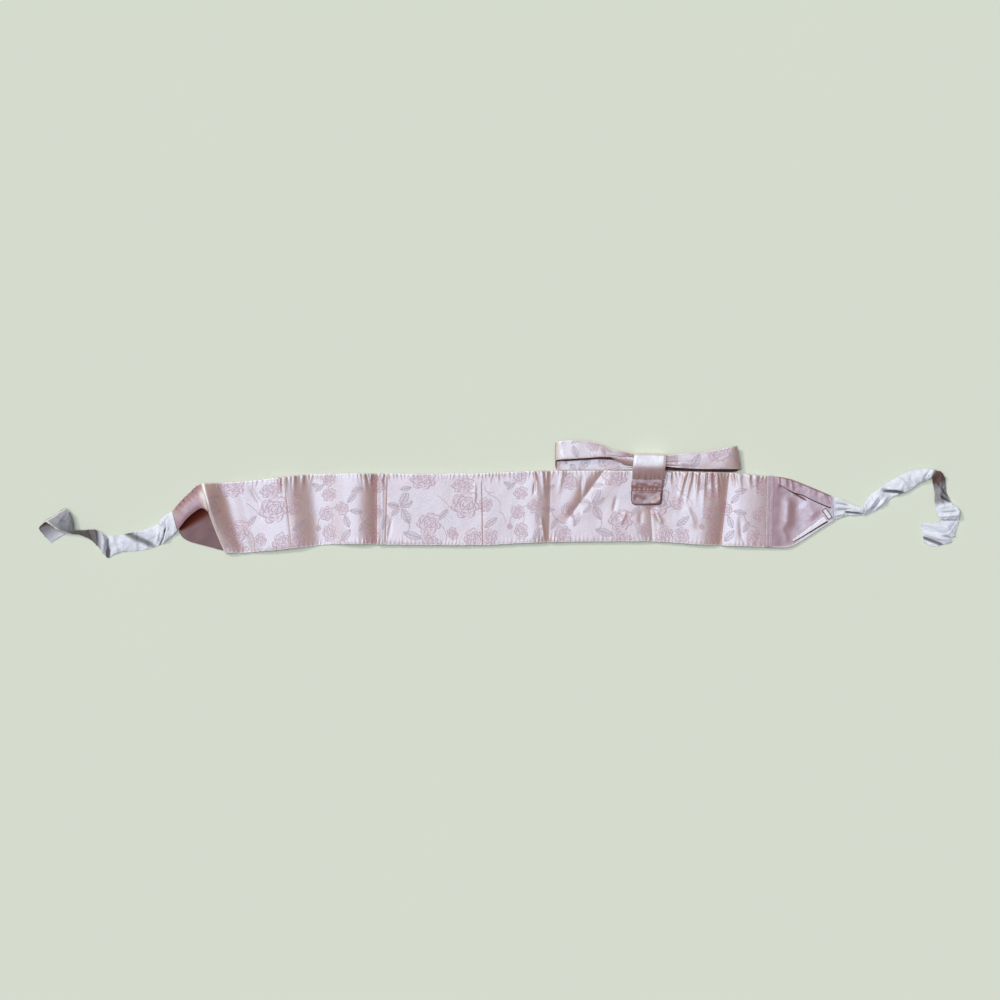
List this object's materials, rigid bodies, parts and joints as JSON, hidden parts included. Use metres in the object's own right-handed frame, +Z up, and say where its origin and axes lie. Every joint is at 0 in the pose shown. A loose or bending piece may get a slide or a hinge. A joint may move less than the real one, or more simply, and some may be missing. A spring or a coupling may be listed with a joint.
{
  "type": "satin waist sash",
  "caption": "Flat-laid satin waist sash with gathered long edges, folded ends, creased tape ties and a flat bow held by a stitched keeper strap.",
  "frame": {"origin": "centre of the laid sash on the surface it lies on", "axes": "+X along the band towards the stitched end nearer the bow, +Y across the band towards the bow, +Z up from the surface"},
  "size_m": [1.1513, 0.1468, 0.0176],
  "materials": {
    "rose_satin": "pale pink satin woven with dusty pink roses",
    "plain_satin": "plain dusty pink satin",
    "tape_cotton": "creased white cotton, raw edges",
    "tab_tape": "bare white tape"
  },
  "bodies": {
    "root": {"band_front": "rose_satin", "band_back": "plain_satin", "end_left_roll": "plain_satin", "end_left_flap": "plain_satin", "seam_strip_right": "plain_satin", "end_right_panel": "plain_satin", "end_right_top_pleat": "plain_satin", "end_right_bottom_pleat": "plain_satin", "size_tab": "tab_tape", "tie_left": "tape_cotton", "tie_right": "tape_cotton", "bow_left_loop": "rose_satin", "bow_right_loop": "rose_satin", "bow_left_tuck": "rose_satin", "keeper_loop": "plain_satin", "keeper_tab": "plain_satin"}
  },
  "joints": []
}
